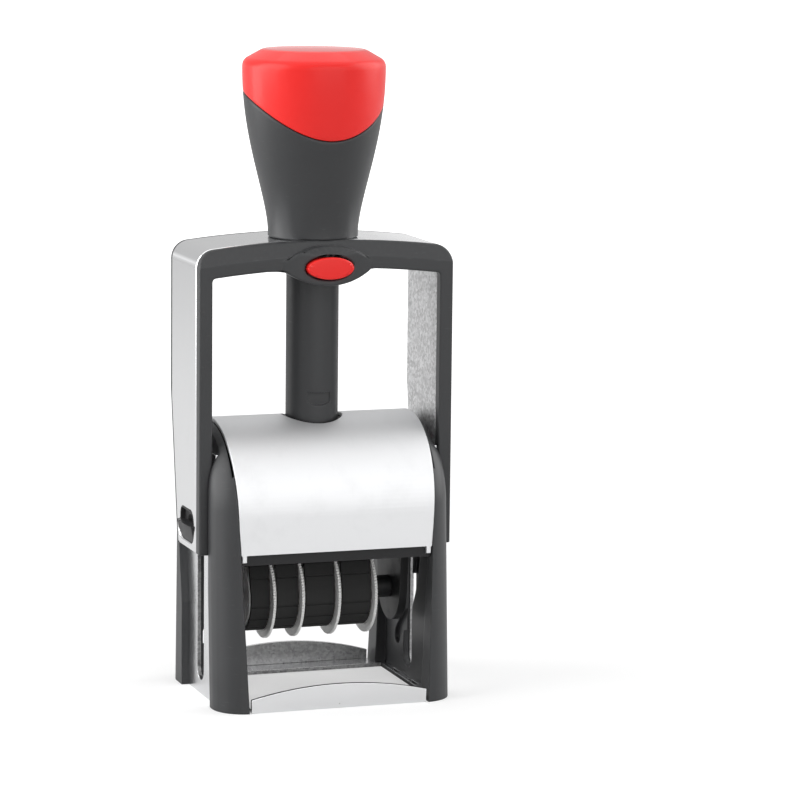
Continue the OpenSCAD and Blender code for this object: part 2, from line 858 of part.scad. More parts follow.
// Carrier of the text plate, slotted for the bands and bored for their bar
module head_frame() {
    slot = [plate_in_x - 1.2, 5.2];
    half_y = plate_d / 2 + 0.2;
    frame_t = 3;
    color(black) difference() {
        block([-plate_in_x + seat_gap, -half_y, frame_z - frame_t], [plate_in_x - seat_gap, half_y, frame_z]);
        block([-slot.x, -slot.y, 0], [slot.x, slot.y, far]);
        bar_x(-far, far, tenon_r + pin_fit, 0, bar_z);
    }
}

// Right-hand end plate of the head: pivot boss, cam lug and the seats of the axle and the bar
module head_plate() {
    nose_wall = 7;
    nose_r = axle_r + nose_wall;
    shoulder = lug_offset + lug_r + 0.7;
    shoulder_z = pivot_z - 2;
    half_y = 10;
    boss_wall = 1.6;
    difference() {
        union() {
            along_x(plate_in_x, plate_x) {
                belt_area(nose_r, axle_z, shoulder, shoulder_z);
                translate([-half_y, shoulder_z]) square([2 * half_y, frame_z - shoulder_z]);
            }
            bar_x(plate_x - eps, bay_w / 2 - slide_gap, pin_r + boss_wall, 0, pivot_z);
            bar_x(plate_x - eps, bay_w / 2 + track_d - slide_gap, lug_r, -lug_offset, pivot_z);
        }
        bar_x(0, far, pin_r + pin_fit, 0, pivot_z);
        bar_x(0, far, axle_r + pin_fit, 0, axle_z);
        bar_x(0, far, tenon_r + pin_fit, 0, bar_z);
    }
}

module left_head_plate() { color(black) mirror([1, 0, 0]) head_plate(); }

module right_head_plate() { color(black) head_plate(); }

// Text plate with a raised frame, plain raised lines and the window for the date bands
module text_plate() {
    relief = 0.8;
    edge = 0.6;
    rule = 0.8;
    line_in = 4;
    line_y = plate_d / 4;
    line_h = 1.2;
    line_pitch = 2.2;
    window_y = 4.4;
    half = [plate_w / 2, plate_d / 2];
    face = frame_z + plate_t;
    low = frame_z + plate_t - relief;
    color(white) difference() {
        union() {
            block([-half.x, -half.y, frame_z], [half.x, half.y, low]);
            translate([0, 0, low - eps]) linear_extrude(face - low + eps) {
                difference() {
                    square(2 * half - 2 * [edge, edge], center = true);
                    square(2 * half - 2 * [edge + rule, edge + rule], center = true);
                }
                for (side = [0, 1], row = [0, 1]) mirror([0, side])
                    translate([-half.x + line_in * (1 + row), line_y + row * line_pitch])
                        square([plate_w - 2 * line_in * (1 + row), line_h]);
            }
        }
        block([bands_x[0], -window_y, 0], [bands_x[1], window_y, far]);
    }
}

// Bar that the bands run over at the print face, with a fin beside each band
module band_bridge() {
    fin_gap = 0.1;
    flat = 0.6;
    tenon_x = plate_x - 0.4;
    color(black) difference() {
        union() {
            bar_x(bands_x[0] + band_margin, bands_x[1] - band_margin, bar_r, 0, bar_z);
            bar_x(-tenon_x, tenon_x, tenon_r, 0, bar_z);
            for (x = wheel_x)
                bar_x(x - wheel_t + fin_gap, x - fin_gap, bar_band_r - 2 * fin_gap, 0, bar_z);
        }
        block([-far, -far, bar_z + bar_band_r - flat], [far, far, far]);
    }
}

module wheel_axle() { color(bright) bar_x(-plate_x, plate_x, axle_r, 0, axle_z); }

// Sleeve on the axle between the last wheel and the end plate
module axle_spacer() {
    sleeve_wall = 1.3;
    color(black) difference() {
        bar_x(wheel_x[3] + 0.2, plate_in_x - seat_gap, axle_r + sleeve_wall, 0, axle_z);
        bar_x(-far, far, axle_r + pin_fit, 0, axle_z);
    }
}

// Rubber band with type blocks parted by cross grooves; i counts from 0 at the left
module date_band(i) {
    right = wheel_x[i] - wheel_t - band_margin;
    left = wheel_x[i] - wheel_t - drum_w[i] + band_margin;
    groove = 0.3;
    half_cut = 0.2;
    pitch = 22.5;
    rows = 6;
    tilt = asin((band_r - bar_band_r) / (bar_z - axle_z));
    run = (bar_z - axle_z) * cos(tilt);
    color(black) difference() {
        along_x(left, right) difference() {
            belt_area(band_r, axle_z, bar_band_r, bar_z);
            belt_area(band_r - band_t, axle_z, bar_band_r - band_t, bar_z);
        }
        for (a = [-90 + pitch / 2 : pitch : 90]) translate([0, 0, axle_z]) rotate([a, 0, 0])
            block([left - 1, -half_cut, -band_r - 1], [right + 1, half_cut, -band_r + groove]);
        for (side = [0, 1], row = [1 : rows]) mirror([0, side, 0])
            translate([0, 0, axle_z]) rotate([-tilt, 0, 0])
                translate([0, -band_r, row * run / (rows + 1)])
                    block([left - 1, -1, -half_cut], [right + 1, groove, half_cut]);
    }
}

module date_band_1() { date_band(0); }

module date_band_2() { date_band(1); }

module date_band_3() { date_band(2); }

module date_band_4() { date_band(3); }

// Serrated thumbwheel with the drum that drives its band
module thumbwheel(i) {
    tooth = 0.45;
    x = wheel_x[i];
    color(white) difference() {
        union() {
            translate([0, 0, axle_z]) along_x(x - wheel_t, x) polygon([
                for (k = [0 : 2 * wheel_teeth - 1])
                    let (r = wheel_r - tooth * (k % 2), a = 180 * k / wheel_teeth)
                    r * [cos(a), sin(a)]
            ]);
            bar_x(x - wheel_t - drum_w[i] + 0.1, x - wheel_t + eps, drum_r, 0, axle_z);
        }
        bar_x(-far, far, axle_r + pin_fit, 0, axle_z);
    }
}

module thumbwheel_1() { thumbwheel(0); }

module thumbwheel_2() { thumbwheel(1); }

module thumbwheel_3() { thumbwheel(2); }

module thumbwheel_4() { thumbwheel(3); }

base_frame();
left_cheek();
right_cheek();
pad_housing();
dome_cover();
guide_column();
main_spring();
pad_tray();
ink_pad();
yoke_strip();
front_trim();
rear_trim();
yoke_bridge();
handle_grip();
handle_cap();
spring_plunger();
left_pivot_pin();
right_pivot_pin();
left_pin_clip();
right_pin_clip();
lock_button();
head_frame();
left_head_plate();
right_head_plate();
text_plate();
band_bridge();
wheel_axle();
axle_spacer();
date_band_1();
date_band_2();
date_band_3();
date_band_4();
thumbwheel_1();
thumbwheel_2();
thumbwheel_3();
thumbwheel_4();
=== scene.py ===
import json
import math

import bmesh
import bpy
from bpy.props import FloatProperty, FloatVectorProperty, IntProperty, PointerProperty
from bpy.types import Operator, Panel, PropertyGroup
from mathutils import Matrix, Vector, noise


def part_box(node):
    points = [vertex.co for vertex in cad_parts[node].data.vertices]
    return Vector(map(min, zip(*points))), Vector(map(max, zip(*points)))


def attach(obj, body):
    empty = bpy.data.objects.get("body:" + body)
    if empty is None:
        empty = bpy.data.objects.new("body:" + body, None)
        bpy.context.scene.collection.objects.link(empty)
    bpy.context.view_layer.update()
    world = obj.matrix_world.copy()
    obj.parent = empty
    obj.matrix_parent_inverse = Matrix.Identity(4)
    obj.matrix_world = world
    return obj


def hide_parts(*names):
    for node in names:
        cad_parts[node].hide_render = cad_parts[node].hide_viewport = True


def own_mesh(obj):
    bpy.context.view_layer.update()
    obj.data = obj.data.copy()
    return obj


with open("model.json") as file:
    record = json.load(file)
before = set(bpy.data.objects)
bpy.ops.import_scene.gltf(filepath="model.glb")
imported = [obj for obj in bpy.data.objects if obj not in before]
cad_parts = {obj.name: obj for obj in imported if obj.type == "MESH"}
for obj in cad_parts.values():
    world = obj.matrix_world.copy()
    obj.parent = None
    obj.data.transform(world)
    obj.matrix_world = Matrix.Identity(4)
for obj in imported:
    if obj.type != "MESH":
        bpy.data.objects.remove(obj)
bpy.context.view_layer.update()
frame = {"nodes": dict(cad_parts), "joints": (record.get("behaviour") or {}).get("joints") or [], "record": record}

bl_info = {
    "name": "Date Stamp",
    "version": (1, 0, 0),
    "blender": (4, 5, 0),
    "location": "View3D > Sidebar > Stamp",
    "description": "Dresses the frame of a self-inking date stamp and sets its stage",
    "category": "Add Mesh",
}

BODY_OF = {node: body for body, nodes in frame["record"]["behaviour"]["bodies"].items() for node in nodes}
MM = 0.001


class StampSizes(PropertyGroup):
    """Measures of the dressed pieces"""

    moulded_edge: FloatProperty(
        name="Moulded edge", description="Radius of the edges of the trims and the lock button",
        default=0.4 * MM, unit="LENGTH", precision=5)
    cheek_edge: FloatProperty(
        name="Cheek edge", description="Radius of the edges of the cheeks",
        default=0.25 * MM, unit="LENGTH", precision=5)
    sheet_edge: FloatProperty(
        name="Sheet edge", description="Radius of the edges of the bright sheet and the thin mouldings",
        default=0.2 * MM, unit="LENGTH", precision=5)
    strip_edge: FloatProperty(
        name="Strip edge", description="Radius of the edges of the yoke's thick strip",
        default=0.5 * MM, unit="LENGTH", precision=5)
    fine_edge: FloatProperty(
        name="Fine edge", description="Radius of the edges of the small pieces",
        default=0.12 * MM, unit="LENGTH", precision=5)
    edge_steps: IntProperty(
        name="Edge steps", description="Faces across a rounded edge", default=3, min=1, max=6)
    lathe_steps: IntProperty(
        name="Lathe steps", description="Faces round the handle", default=160, min=48, max=256)
    cap_gap: FloatProperty(
        name="Cap groove", description="Width of the groove between the cap and the grip",
        default=0.16 * MM, unit="LENGTH", precision=5)
    felt_crown: FloatProperty(
        name="Felt crown", description="Swell of the ink pad's face",
        default=0.12 * MM, unit="LENGTH", precision=5)


class StampColours(PropertyGroup):
    """Colours of the finishes"""

    grey: FloatVectorProperty(
        name="Grey moulding", description="Colour of the cheeks, trims, column and grip",
        default=(0.037, 0.038, 0.040), subtype="COLOR", min=0, max=1)
    black: FloatVectorProperty(
        name="Black moulding", description="Colour of the print head and the pad housing",
        default=(0.019, 0.019, 0.020), subtype="COLOR", min=0, max=1)
    red: FloatVectorProperty(
        name="Red moulding", description="Colour of the cap and the lock button",
        default=(0.90, 0.020, 0.017), subtype="COLOR", min=0, max=1)
    white: FloatVectorProperty(
        name="White moulding", description="Colour of the thumbwheels",
        default=(0.95, 0.945, 0.93), subtype="COLOR", min=0, max=1)
    chrome: FloatVectorProperty(
        name="Chrome", description="Colour of the bright plate",
        default=(0.86, 0.865, 0.875), subtype="COLOR", min=0, max=1)
    zinc: FloatVectorProperty(
        name="Zinc", description="Colour of the bare inside of the strip and the rear lip",
        default=(0.56, 0.56, 0.565), subtype="COLOR", min=0, max=1)
    steel: FloatVectorProperty(
        name="Steel", description="Colour of the pins, the axle and the spring",
        default=(0.58, 0.58, 0.58), subtype="COLOR", min=0, max=1)
    rubber: FloatVectorProperty(
        name="Rubber", description="Colour of the date bands",
        default=(0.050, 0.050, 0.051), subtype="COLOR", min=0, max=1)
    plate: FloatVectorProperty(
        name="Text plate", description="Colour of the text plate",
        default=(0.60, 0.61, 0.63), subtype="COLOR", min=0, max=1)
    ink: FloatVectorProperty(
        name="Ink", description="Colour of the ink in the pad",
        default=(0.012, 0.014, 0.05), subtype="COLOR", min=0, max=1)


class StampStage(PropertyGroup):
    """Camera, floor and light"""

    lens: FloatProperty(
        name="Lens", description="Focal length of the camera", default=166.4, unit="CAMERA")
    world_level: FloatProperty(
        name="Room light", description="Strength of the even light of the room", default=0.30, min=0)
    mirror_level: FloatProperty(
        name="Mirrored room", description="Strength of the room as the bright plate mirrors it",
        default=0.96, min=0, max=1)
    mirror_drop: FloatProperty(
        name="Mirrored back",
        description="How much darker the plate mirrors the room behind and over the stamp",
        default=0.38, min=0, max=1)
    left_power: FloatProperty(
        name="Left light", description="Power of the large lamp at the left", default=14.0, unit="POWER")
    right_power: FloatProperty(
        name="Right light", description="Power of the large lamp at the right", default=9.5, unit="POWER")
    front_power: FloatProperty(
        name="Front light", description="Power of the lamp at the front", default=4.2, unit="POWER")
    top_power: FloatProperty(
        name="Top light", description="Power of the wide lamp above", default=8.5, unit="POWER")
    edge_power: FloatProperty(
        name="Edge light", description="Power of the low lamp behind at the left", default=0.9, unit="POWER")
    floor_lift: FloatProperty(
        name="Floor lift", description="Light that the floor adds of itself to look white",
        default=0.44, min=0, max=1)
    far_lift: FloatProperty(
        name="Far lift", description="Light that the floor adds where the lamps don't reach",
        default=0.8, min=0, max=1)


class Wire:
    """An output socket; arithmetic on it adds Math nodes to its tree."""

    def __init__(self, socket):
        self.socket = socket

    def node(self, kind, settings=None, inputs=None, output=0):
        """Adds a node of the given type: its settings first, then its sockets' values or links."""
        tree = self.socket.id_data
        made = tree.nodes.new(kind)
        for key, value in (settings or {}).items():
            setattr(made, key, value)
        for key, value in (inputs or {}).items():
            if isinstance(value, Wire):
                tree.links.new(value.socket, made.inputs[key])
            else:
                made.inputs[key].default_value = value
        return Wire(made.outputs[output])

    def math(self, operation, first, second=0.0):
        return self.node("ShaderNodeMath", {"operation": operation}, {0: first, 1: second})

    def __add__(self, other):
        return self.math("ADD", self, other)

    def __radd__(self, other):
        return self.math("ADD", other, self)

    def __sub__(self, other):
        return self.math("SUBTRACT", self, other)

    def __rsub__(self, other):
        return self.math("SUBTRACT", other, self)

    def __mul__(self, other):
        return self.math("MULTIPLY", self, other)

    def __rmul__(self, other):
        return self.math("MULTIPLY", other, self)


def cloud(place, scale, detail=3.0, roughness=0.5):
    """Soft noise from 0 to 1; scale counts its features to the metre."""
    return place.node("ShaderNodeTexNoise", None, {
        "Vector": place, "Scale": scale, "Detail": detail, "Roughness": roughness})


def stretched(place, x, y, z):
    """Place drawn out by different scales along the three axes."""
    return place.node("ShaderNodeMapping", None, {"Vector": place, "Scale": (x, y, z)})


def window(value, low, high):
    """0 below low, 1 above high and even between."""
    return value.node(
        "ShaderNodeMapRange", {"clamp": True}, {"Value": value, "From Min": low, "From Max": high})


def tint(factor, first, second):
    """Colour between first and second."""
    colours = [c if isinstance(c, Wire) else (*c, 1.0) for c in (first, second)]
    return factor.node(
        "ShaderNodeMix", {"data_type": "RGBA"}, {0: factor, 6: colours[0], 7: colours[1]}, 2)


def upward(place):
    """How far a face looks up, from -1 to 1."""
    normal = place.node("ShaderNodeNewGeometry", None, None, "Normal")
    return place.node("ShaderNodeSeparateXYZ", None, {0: normal}, 2)


def edges(place, radius):
    """1 on sharp outer edges, 0 on flat faces."""
    normal = place.node("ShaderNodeNewGeometry", None, None, "Normal")
    soft = place.node("ShaderNodeBevel", {"samples": 4}, {"Radius": radius})
    facing = place.node("ShaderNodeVectorMath", {"operation": "DOT_PRODUCT"}, {0: soft, 1: normal}, "Value")
    return window(1 - facing, 0.01, 0.12)


def bumped(height, strength, distance, soft=0.0):
    """Normal for a height in parts of the given distance, over edges softened by a radius."""
    inputs = {"Height": height, "Strength": strength, "Distance": distance}
    if soft:
        inputs["Normal"] = height.node("ShaderNodeBevel", {"samples": 6}, {"Radius": soft})
    return height.node("ShaderNodeBump", None, inputs)


def scaled(colour, factor):
    return tuple(min(1.0, c * factor) for c in colour)


def new_finish(name, **constants):
    """A material, its shader and its object coordinates. Constants go on the shader's own sockets."""
    material = bpy.data.materials.new(name)
    material.use_nodes = True
    tree = material.node_tree
    shader = tree.nodes["Principled BSDF"]
    for key, value in constants.items():
        shader.inputs[key.replace("_", " ").title().replace("Ior", "IOR")].default_value = value
    place = Wire(tree.nodes.new("ShaderNodeTexCoord").outputs["Object"])
    return material, shader, place


def connect(shader, **wires):
    """Links the varying values to the shader's sockets."""
    for key, wire in wires.items():
        shader.id_data.links.new(wire.socket, shader.inputs[key.replace("_", " ").title()])


def grey_moulding(colours):
    material, shader, place = new_finish("grey_moulding", specular_ior_level=0.38)
    sheen = cloud(place, 55, 4)
    grain = cloud(place, 7000, 2)
    scuffs = window(cloud(stretched(place, 300, 300, 2600), 1, 3), 0.66, 0.78)
    wear = edges(place, 0.5 * MM) * window(cloud(place, 420, 4), 0.35, 0.7)
    dust = window(upward(place), 0.3, 1.0) * window(cloud(place, 900, 5), 0.45, 0.75)
    base = tint(sheen, scaled(colours.grey, 0.9), scaled(colours.grey, 1.12))
    base = tint(wear * 0.45, base, scaled(colours.grey, 2.6))
    base = tint(dust * 0.1 + scuffs * 0.06, base, (0.35, 0.345, 0.335))
    connect(
        shader, base_color=base, roughness=0.33 + 0.12 * sheen + 0.1 * dust - 0.08 * wear,
        normal=bumped(grain + 0.2 * scuffs, 0.16, 0.03 * MM, soft=0.55 * MM))
    return material


def black_moulding(colours):
    material, shader, place = new_finish("black_moulding", specular_ior_level=0.26)
    sheen = cloud(place, 80, 4)
    grain = cloud(place, 6000, 2)
    wear = edges(place, 0.35 * MM) * window(cloud(place, 500, 4), 0.35, 0.7)
    smear = window(cloud(stretched(place, 60, 200, 200), 1, 4), 0.5, 0.72)
    base = tint(sheen, scaled(colours.black, 0.85), scaled(colours.black, 1.3))
    base = tint(wear * 0.5, base, scaled(colours.black, 2.5))
    connect(
        shader, base_color=base, roughness=0.36 + 0.14 * sheen + 0.12 * smear,
        normal=bumped(grain, 0.12, 0.03 * MM))
    return material


def red_moulding(colours):
    material, shader, place = new_finish(
        "red_moulding", specular_ior_level=0.3, coat_roughness=0.09)
    sheen = cloud(place, 45, 3)
    peel = cloud(place, 1100, 2)
    fine = window(cloud(stretched(place, 1800, 500, 400), 1, 3), 0.66, 0.8)
    wear = edges(place, 0.5 * MM) * window(cloud(place, 500, 4), 0.4, 0.7)
    base = tint(sheen, scaled(colours.red, 0.94), scaled(colours.red, 1.05))
    base = tint(wear * 0.25, base, (0.86, 0.12, 0.10))
    connect(
        shader, base_color=base, roughness=0.31 + 0.08 * sheen + 0.1 * fine,
        coat_weight=0.08 + 0.57 * window(upward(place), 0.8, 0.98),
        normal=bumped(peel, 0.05, 0.04 * MM))
    return material


def white_moulding(colours):
    material, shader, place = new_finish("white_moulding", specular_ior_level=0.5)
    sheen = cloud(place, 120, 4)
    grain = cloud(place, 5200, 2)
    stain = window(cloud(place, 380, 5, 0.65), 0.55, 0.75)
    rim = edges(place, 0.25 * MM)
    base = tint(sheen, scaled(colours.white, 0.94), scaled(colours.white, 1.06))
    base = tint(stain * 0.16, base, (0.42, 0.42, 0.43))
    base = tint(rim * 0.3, base, (0.86, 0.86, 0.84))
    connect(
        shader, base_color=base, roughness=0.36 + 0.14 * sheen,
        normal=bumped(grain, 0.1, 0.03 * MM))
    return material


def plated(name, chrome, gloss):
    """Chrome plate with haze, smudges and hairlines; gloss is its roughness where it is clean."""
    material, shader, place = new_finish(name, metallic=1.0)
    haze = cloud(place, 38, 4)
    smudge = window(cloud(place, 130, 5, 0.6), 0.52, 0.74)
    hairline = window(cloud(stretched(place, 2200, 90, 90), 1, 2), 0.62, 0.76)
    wave = cloud(place, 26, 1)
    base = tint(smudge * 0.25 + haze * 0.2, chrome, scaled(chrome, 0.93))
    connect(
        shader, base_color=base, roughness=gloss + 0.04 * haze + 0.06 * smudge + 0.04 * hairline,
        normal=bumped(wave + 0.01 * hairline, 0.05, 0.5 * MM))
    return material


def bright_plate(colours):
    return plated("bright_plate", colours.chrome, 0.1)


def sheet_plate(colours):
    return plated("sheet_plate", colours.chrome, 0.2)


def satin_plate(colours):
    return plated("satin_plate", scaled(colours.chrome, 0.84), 0.56)


def galvanised(name, zinc):
    """Dull zinc plate with fine drawn spangle."""
    material, shader, place = new_finish(name, metallic=0.85)
    flakes = place.node(
        "ShaderNodeTexVoronoi", {"feature": "F1"}, {"Vector": place, "Scale": 1500.0}, "Color")
    flake = place.node("ShaderNodeSeparateColor", None, {0: flakes}, 0)
    speck = cloud(place, 1900, 4, 0.75)
    drawn = cloud(stretched(place, 160, 900, 900), 1, 4, 0.65)
    shade = window(flake * 0.25 + speck * 0.45 + drawn * 0.3, 0.32, 0.68)
    base = tint(shade, scaled(zinc, 0.62), scaled(zinc, 1.3))
    connect(
        shader, base_color=base, roughness=0.34 + 0.2 * shade,
        normal=bumped(speck, 0.25, 0.05 * MM))
    return material


def zinc_face(colours):
    return galvanised("zinc_face", colours.zinc)


# The same zinc at 0.68 of its colour and the same roughness, for the inner face of the rear lip.
def dull_zinc(colours):
    return galvanised("dull_zinc", scaled(colours.zinc, 0.68))


def ground_steel(colours):
    material, shader, place = new_finish("ground_steel", metallic=1.0)
    turned = cloud(stretched(place, 5200, 160, 160), 1, 3)
    haze = cloud(place, 300, 4)
    base = tint(haze, scaled(colours.steel, 0.85), scaled(colours.steel, 1.1))
    connect(
        shader, base_color=base, roughness=0.2 + 0.16 * turned,
        normal=bumped(turned, 0.08, 0.02 * MM))
    return material


def band_rubber(colours):
    material, shader, place = new_finish("band_rubber", specular_ior_level=0.4)
    bloom = cloud(place, 260, 5, 0.6)
    pores = cloud(place, 6500, 3)
    wear = edges(place, 0.2 * MM)
    base = tint(bloom, scaled(colours.rubber, 0.8), scaled(colours.rubber, 1.6))
    base = tint(wear * 0.3, base, scaled(colours.rubber, 2.5))
    connect(
        shader, base_color=base, roughness=0.5 + 0.2 * bloom,
        normal=bumped(pores, 0.3, 0.03 * MM))
    return material


def plate_rubber(colours):
    material, shader, place = new_finish("plate_rubber", specular_ior_level=0.4)
    bloom = cloud(place, 200, 4)
    blots = window(cloud(place, 420, 5, 0.65), 0.46, 0.62)
    inked = window(upward(place), 0.7, 0.95)
    pores = cloud(place, 6000, 2)
    base = tint(bloom, scaled(colours.plate, 0.92), scaled(colours.plate, 1.05))
    base = tint(inked * (0.45 + 0.5 * blots), base, colours.ink)
    connect(
        shader, base_color=base, roughness=0.42 + 0.2 * bloom,
        normal=bumped(pores, 0.2, 0.03 * MM))
    return material


def inked_felt(colours):
    material, shader, place = new_finish("inked_felt", specular_ior_level=0.3, sheen_weight=0.2)
    wet = cloud(place, 160, 4)
    nap = cloud(place, 3800, 4, 0.7)
    fibre = cloud(stretched(place, 5200, 1500, 1500), 1, 3, 0.7)
    base = tint(wet * 0.6 + nap * 0.4, scaled(colours.ink, 0.7), scaled(colours.ink, 2.0))
    connect(
        shader, base_color=base, roughness=0.55 + 0.35 * nap,
        normal=bumped(nap * 0.6 + fibre * 0.4, 0.7, 0.12 * MM))
    return material


FINISHES = {
    "grey_plastic": grey_moulding,
    "black_plastic": black_moulding,
    "red_plastic": red_moulding,
    "white_plastic": white_moulding,
    "chrome_strip": bright_plate,
    "chrome_sheet": sheet_plate,
    "chrome_cover": satin_plate,
    "zinc": zinc_face,
    "zinc_lip": dull_zinc,
    "steel": ground_steel,
    "band_rubber": band_rubber,
    "plate_rubber": plate_rubber,
    "ink_felt": inked_felt,
}


def finish(context, key):
    """The material for a finish, made on its first use."""
    made = FINISHES[key]
    return bpy.data.materials.get(made.__name__) or made(context.scene.stamp_colours)


def add_piece(context, name, mesh, body, replaced, materials):
    """Links a new piece, hangs it on its body and lets it stand for a node of the frame."""
    piece = bpy.data.objects.new(name, mesh)
    context.scene.collection.objects.link(piece)
    for material in materials:
        mesh.materials.append(material)
    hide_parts(replaced)
    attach(piece, body)
    return piece


def round_edges(piece, width, steps, held):
    """Rounds the sharp edges; held keeps the rounding within the shortest edge."""
    piece.data.shade_smooth()
    piece.data.set_sharp_from_angle(angle=math.radians(18))
    bevel = piece.modifiers.new("Edge", "BEVEL")
    bevel.width = width
    bevel.segments = steps
    bevel.limit_method = "ANGLE"
    bevel.angle_limit = math.radians(40)
    bevel.use_clamp_overlap = held
    bevel.miter_outer = "MITER_ARC"
    bevel.harden_normals = False
    even = piece.modifiers.new("Normals", "WEIGHTED_NORMAL")
    even.keep_sharp = True
    even.weight = 60


def clean_mesh(node, weld, split):
    """A node's form as one welded mesh of whole flat faces; split cuts up those with openings."""
    bm = bmesh.new()
    bm.from_mesh(frame["nodes"][node].data)
    bmesh.ops.remove_doubles(bm, verts=bm.verts, dist=weld)
    bmesh.ops.dissolve_degenerate(bm, dist=weld / 4, edges=bm.edges)
    bmesh.ops.dissolve_limit(
        bm, angle_limit=math.radians(0.8), use_dissolve_boundaries=False,
        verts=bm.verts, edges=bm.edges, delimit=set())
    if split:
        bm.normal_update()
        opened = [face for face in bm.faces if len(face.verts) > 4 and abs(face.normal.y) < 0.5]
        bmesh.ops.triangulate(bm, faces=opened)
    bmesh.ops.recalc_face_normals(bm, faces=bm.faces)
    mesh = bpy.data.meshes.new(node)
    for face in bm.faces:
        face.material_index = 0
    bm.to_mesh(mesh)
    bm.free()
    return mesh


def dress(context, node, key, width, weld=0.045 * MM, held=False, split=False):
    """A rounded, finished piece in the form of a node of the frame."""
    mesh = clean_mesh(node, weld, split)
    piece = add_piece(context, node + "_form", mesh, BODY_OF[node], node, [finish(context, key)])
    round_edges(piece, width, context.scene.stamp_sizes.edge_steps, held)
    return piece


def faces_inward(face):
    """True for the inner faces of the side walls."""
    return abs(face.normal.x) > 0.6 and face.normal.x * face.center.x < 0


def uncover(context, piece, key, chosen):
    """Gives the chosen faces of a plated piece another finish."""
    piece.data.materials.append(finish(context, key))
    for face in piece.data.polygons:
        if chosen(face):
            face.material_index = len(piece.data.materials) - 1


def coat(context, node, key):
    """Gives a node that stays in view its finish."""
    slots = frame["nodes"][node].data.materials
    slots.clear()
    slots.append(finish(context, key))


class STAMP_OT_stage(Operator):
    """Set the floor, the light and the camera"""
    bl_idname = "stamp.stage"
    bl_label = "Stage"

    lamps = (
        ("left", (-1.2, 0.05, 0.60), 1.4),
        ("right", (1.2, -0.05, 0.60), 1.4),
        ("front", (0.15, -1.1, 0.40), 1.3),
        ("top", (0.0, 0.1, 1.5), 2.0),
        ("edge", (-0.62, 0.36, 0.12), 0.34),
    )
    lamp_aim = Vector((0, 0, 0.07))
    floor_half, floor_drop, floor_grey = 15.0, 0.05 * MM, 0.6
    near_glow = 0.16
    camera_place = Vector((-0.274785, -0.862764, 0.212013))
    camera_right = Vector((0.94571, -0.32482, 0.01084))
    camera_up = Vector((0.03926, 0.14729, 0.98831))
    camera_back = Vector((-0.32262, -0.93424, 0.15205))

    def execute(self, context):
        scene = context.scene
        stage = scene.stamp_stage
        scene.view_settings.view_transform = "Standard"
        self.make_world(scene, stage)
        self.make_floor(scene, stage)
        for name, place, size in self.lamps:
            self.make_lamp(scene, name + "_lamp", place, size, getattr(stage, name + "_power"))
        self.make_camera(scene, stage)
        return {"FINISHED"}

    def seen(self, start, *kinds):
        """1 for rays of the given kinds."""
        rays = [start.node("ShaderNodeLightPath", None, None, f"Is {kind} Ray") for kind in kinds]
        return start.math("MINIMUM", sum(rays[1:], rays[0]), 1.0)

    def make_world(self, scene, stage):
        world = bpy.data.worlds.new("studio")
        scene.world = world
        world.use_nodes = True
        tree = world.node_tree
        start = Wire(tree.nodes.new("ShaderNodeTexCoord").outputs["Generated"])
        depth, height = [start.node("ShaderNodeSeparateXYZ", None, {0: start}, i) for i in (1, 2)]
        behind = window(depth, 0.35, 0.75) * window(height, 0.02, 0.12) * (1 - window(height, 0.3, 0.7))
        mirrored = stage.mirror_level - (behind + 1.3 * window(height, 0.72, 0.95)) * stage.mirror_drop
        level = (
            stage.world_level + self.seen(start, "Camera", "Transmission") * (1.0 - stage.world_level)
            + self.seen(start, "Glossy") * (mirrored - stage.world_level))
        tree.links.new(level.socket, tree.nodes["Background"].inputs["Strength"])
        tree.nodes["Background"].inputs["Color"].default_value = (1, 1, 1, 1)

    def make_floor(self, scene, stage):
        mesh = bpy.data.meshes.new("floor")
        bm = bmesh.new()
        bmesh.ops.create_grid(bm, x_segments=1, y_segments=1, size=self.floor_half)
        bm.to_mesh(mesh)
        bm.free()
        floor = bpy.data.objects.new("floor", mesh)
        floor.location.z = -self.floor_drop
        scene.collection.objects.link(floor)
        material, shader, place = new_finish("pale_floor", roughness=0.9, specular_ior_level=0.0)
        shader.inputs["Base Color"].default_value = (self.floor_grey, self.floor_grey, self.floor_grey, 1)
        shader.inputs["Emission Strength"].default_value = 1.0
        reach = place.node("ShaderNodeVectorMath", {"operation": "LENGTH"}, {0: place}, "Value")
        shown = stage.floor_lift + window(reach, 0.2, 1.4) * stage.far_lift
        mirrored = self.near_glow + window(reach, 1.0, 2.6) * (0.5 * stage.far_lift)
        lift = self.seen(place, "Camera") * shown + self.seen(place, "Glossy", "Transmission") * mirrored
        glow = place.node("ShaderNodeCombineColor", None, {0: lift, 1: lift, 2: lift})
        connect(shader, emission_color=glow)
        mesh.materials.append(material)

    def make_lamp(self, scene, name, location, size, power):
        lamp = bpy.data.lights.new(name, "AREA")
        lamp.shape = "DISK"
        lamp.size = size
        lamp.energy = power
        holder = bpy.data.objects.new(name, lamp)
        holder.location = location
        holder.rotation_euler = (self.lamp_aim - holder.location).to_track_quat("-Z", "Y").to_euler()
        scene.collection.objects.link(holder)

    def make_camera(self, scene, stage):
        camera = bpy.data.cameras.new("camera")
        camera.lens = stage.lens
        camera.sensor_width = 36.0
        camera.clip_start = 0.05
        camera.clip_end = 60.0
        holder = bpy.data.objects.new("camera", camera)
        turn = Matrix((self.camera_right, self.camera_up, self.camera_back)).transposed().to_4x4()
        holder.matrix_world = Matrix.Translation(self.camera_place) @ turn
        scene.collection.objects.link(holder)
        scene.camera = holder


